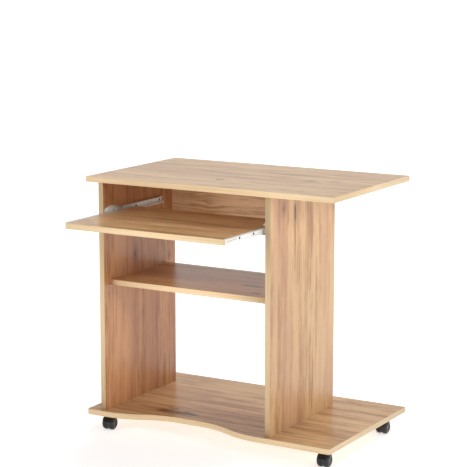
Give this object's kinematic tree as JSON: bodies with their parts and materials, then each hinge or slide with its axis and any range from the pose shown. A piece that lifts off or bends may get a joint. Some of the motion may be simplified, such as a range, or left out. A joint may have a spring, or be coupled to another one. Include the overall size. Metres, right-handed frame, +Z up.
{
  "type": "computer desk",
  "caption": "Oak-effect computer desk on casters: flat top, panel sides, middle shelf, wave-fronted base with a tower bay, and a pull-out keyboard tray on roller slides.",
  "frame": {"origin": "on the floor, in the middle of the rectangle that the desk covers with its tray pulled out as stored", "axes": "+X to the right seen from the front, along the desktop's length; +Y from the front edge to the back edge; +Z up"},
  "size_m": [0.8, 0.676, 0.75],
  "materials": {
    "oak_board": "satin melamine with a light oak print on chipboard",
    "edge_band": "satin oak-coloured edge banding",
    "white_steel": "white epoxy powder coat",
    "white_nylon": "white nylon",
    "zinc_steel": "zinc-plated steel",
    "dark_steel": "dark zinc-plated steel",
    "caster_black": "black moulded nylon, slightly glossy",
    "wheel_black": "black moulded nylon, worn at the tread",
    "beech_dowel": "plain beech"
  },
  "bodies": {
    "carcass": {"desktop": "oak_board", "left_panel": "oak_board", "middle_panel": "oak_board", "back_panel": "oak_board", "shelf": "oak_board", "base_board": "oak_board", "desktop_edging": "edge_band", "left_panel_edging": "edge_band", "middle_panel_edging": "edge_band", "back_panel_edging": "edge_band", "shelf_edging": "edge_band", "base_board_edging": "edge_band", "left_cabinet_rail": "white_steel", "right_cabinet_rail": "white_steel", "front_roller_rivets": "zinc_steel", "cabinet_rail_screws": "dark_steel", "cam_discs": "zinc_steel", "cam_bolts": "zinc_steel", "dowels": "beech_dowel", "base_screws": "zinc_steel", "front_left_caster_plate": "zinc_steel", "front_right_caster_plate": "zinc_steel", "rear_left_caster_plate": "zinc_steel", "rear_right_caster_plate": "zinc_steel", "caster_kingpins": "zinc_steel", "caster_retaining_rings": "zinc_steel", "caster_screws": "zinc_steel"},
    "tray": {"keyboard_tray": "oak_board", "keyboard_tray_edging": "edge_band", "left_tray_rail": "white_steel", "right_tray_rail": "white_steel", "rear_roller_rivets": "zinc_steel", "tray_rail_screws": "dark_steel"},
    "left_front_roller": {"left_front_roller": "white_nylon"},
    "left_rear_roller": {"left_rear_roller": "white_nylon"},
    "right_front_roller": {"right_front_roller": "white_nylon"},
    "right_rear_roller": {"right_rear_roller": "white_nylon"},
    "front_left_caster": {"front_left_caster_hood": "caster_black", "front_left_caster_axle": "zinc_steel"},
    "front_left_caster_left_wheel": {"front_left_caster_left_wheel": "wheel_black"},
    "front_left_caster_right_wheel": {"front_left_caster_right_wheel": "wheel_black"},
    "front_right_caster": {"front_right_caster_hood": "caster_black", "front_right_caster_axle": "zinc_steel"},
    "front_right_caster_left_wheel": {"front_right_caster_left_wheel": "wheel_black"},
    "front_right_caster_right_wheel": {"front_right_caster_right_wheel": "wheel_black"},
    "rear_left_caster": {"rear_left_caster_hood": "caster_black", "rear_left_caster_axle": "zinc_steel"},
    "rear_left_caster_left_wheel": {"rear_left_caster_left_wheel": "wheel_black"},
    "rear_left_caster_right_wheel": {"rear_left_caster_right_wheel": "wheel_black"},
    "rear_right_caster": {"rear_right_caster_hood": "caster_black", "rear_right_caster_axle": "zinc_steel"},
    "rear_right_caster_left_wheel": {"rear_right_caster_left_wheel": "wheel_black"},
    "rear_right_caster_right_wheel": {"rear_right_caster_right_wheel": "wheel_black"}
  },
  "joints": [
    {"name": "tray_slide", "type": "slide", "parent": "carcass", "child": "tray", "axis": [0, 1, 0], "range_m": [-0.045, 0.196]},
    {"name": "left_front_roller_spin", "type": "hinge", "parent": "carcass", "child": "left_front_roller", "pos_m": [-0.3393, -0.118, 0.637], "axis": [1, 0, 0], "range_deg": [-1340, 310]},
    {"name": "left_rear_roller_spin", "type": "hinge", "parent": "tray", "child": "left_rear_roller", "pos_m": [-0.3393, -0.039, 0.64575], "axis": [1, 0, 0], "range_deg": [-1340, 310]},
    {"name": "right_front_roller_spin", "type": "hinge", "parent": "carcass", "child": "right_front_roller", "pos_m": [0.1833, -0.118, 0.637], "axis": [1, 0, 0], "range_deg": [-1340, 310]},
    {"name": "right_rear_roller_spin", "type": "hinge", "parent": "tray", "child": "right_rear_roller", "pos_m": [0.1833, -0.039, 0.64575], "axis": [1, 0, 0], "range_deg": [-1340, 310]},
    {"name": "front_left_caster_swivel", "type": "hinge", "parent": "carcass", "child": "front_left_caster", "pos_m": [-0.34, -0.106, 0.043], "axis": [0, 0, 1], "continuous": true},
    {"name": "front_left_caster_left_wheel_spin", "type": "hinge", "parent": "front_left_caster", "child": "front_left_caster_left_wheel", "pos_m": [-0.3514, -0.123, 0.02], "axis": [1, 0, 0], "continuous": true},
    {"name": "front_left_caster_right_wheel_spin", "type": "hinge", "parent": "front_left_caster", "child": "front_left_caster_right_wheel", "pos_m": [-0.3286, -0.123, 0.02], "axis": [1, 0, 0], "continuous": true},
    {"name": "front_right_caster_swivel", "type": "hinge", "parent": "carcass", "child": "front_right_caster", "pos_m": [0.37, -0.106, 0.043], "axis": [0, 0, 1], "continuous": true},
    {"name": "front_right_caster_left_wheel_spin", "type": "hinge", "parent": "front_right_caster", "child": "front_right_caster_left_wheel", "pos_m": [0.3586, -0.123, 0.02], "axis": [1, 0, 0], "continuous": true},
    {"name": "front_right_caster_right_wheel_spin", "type": "hinge", "parent": "front_right_caster", "child": "front_right_caster_right_wheel", "pos_m": [0.3814, -0.123, 0.02], "axis": [1, 0, 0], "continuous": true},
    {"name": "rear_left_caster_swivel", "type": "hinge", "parent": "carcass", "child": "rear_left_caster", "pos_m": [-0.34, 0.264, 0.043], "axis": [0, 0, 1], "continuous": true},
    {"name": "rear_left_caster_left_wheel_spin", "type": "hinge", "parent": "rear_left_caster", "child": "rear_left_caster_left_wheel", "pos_m": [-0.3514, 0.247, 0.02], "axis": [1, 0, 0], "continuous": true},
    {"name": "rear_left_caster_right_wheel_spin", "type": "hinge", "parent": "rear_left_caster", "child": "rear_left_caster_right_wheel", "pos_m": [-0.3286, 0.247, 0.02], "axis": [1, 0, 0], "continuous": true},
    {"name": "rear_right_caster_swivel", "type": "hinge", "parent": "carcass", "child": "rear_right_caster", "pos_m": [0.37, 0.264, 0.043], "axis": [0, 0, 1], "continuous": true},
    {"name": "rear_right_caster_left_wheel_spin", "type": "hinge", "parent": "rear_right_caster", "child": "rear_right_caster_left_wheel", "pos_m": [0.3586, 0.247, 0.02], "axis": [1, 0, 0], "continuous": true},
    {"name": "rear_right_caster_right_wheel_spin", "type": "hinge", "parent": "rear_right_caster", "child": "rear_right_caster_right_wheel", "pos_m": [0.3814, 0.247, 0.02], "axis": [1, 0, 0], "continuous": true}
  ],
  "couplings": [
    {"joint": "left_front_roller_spin", "follows": "tray_slide", "rad_per_m": -117.65},
    {"joint": "left_rear_roller_spin", "follows": "tray_slide", "rad_per_m": -117.65},
    {"joint": "right_front_roller_spin", "follows": "tray_slide", "rad_per_m": -117.65},
    {"joint": "right_rear_roller_spin", "follows": "tray_slide", "rad_per_m": -117.65}
  ]
}
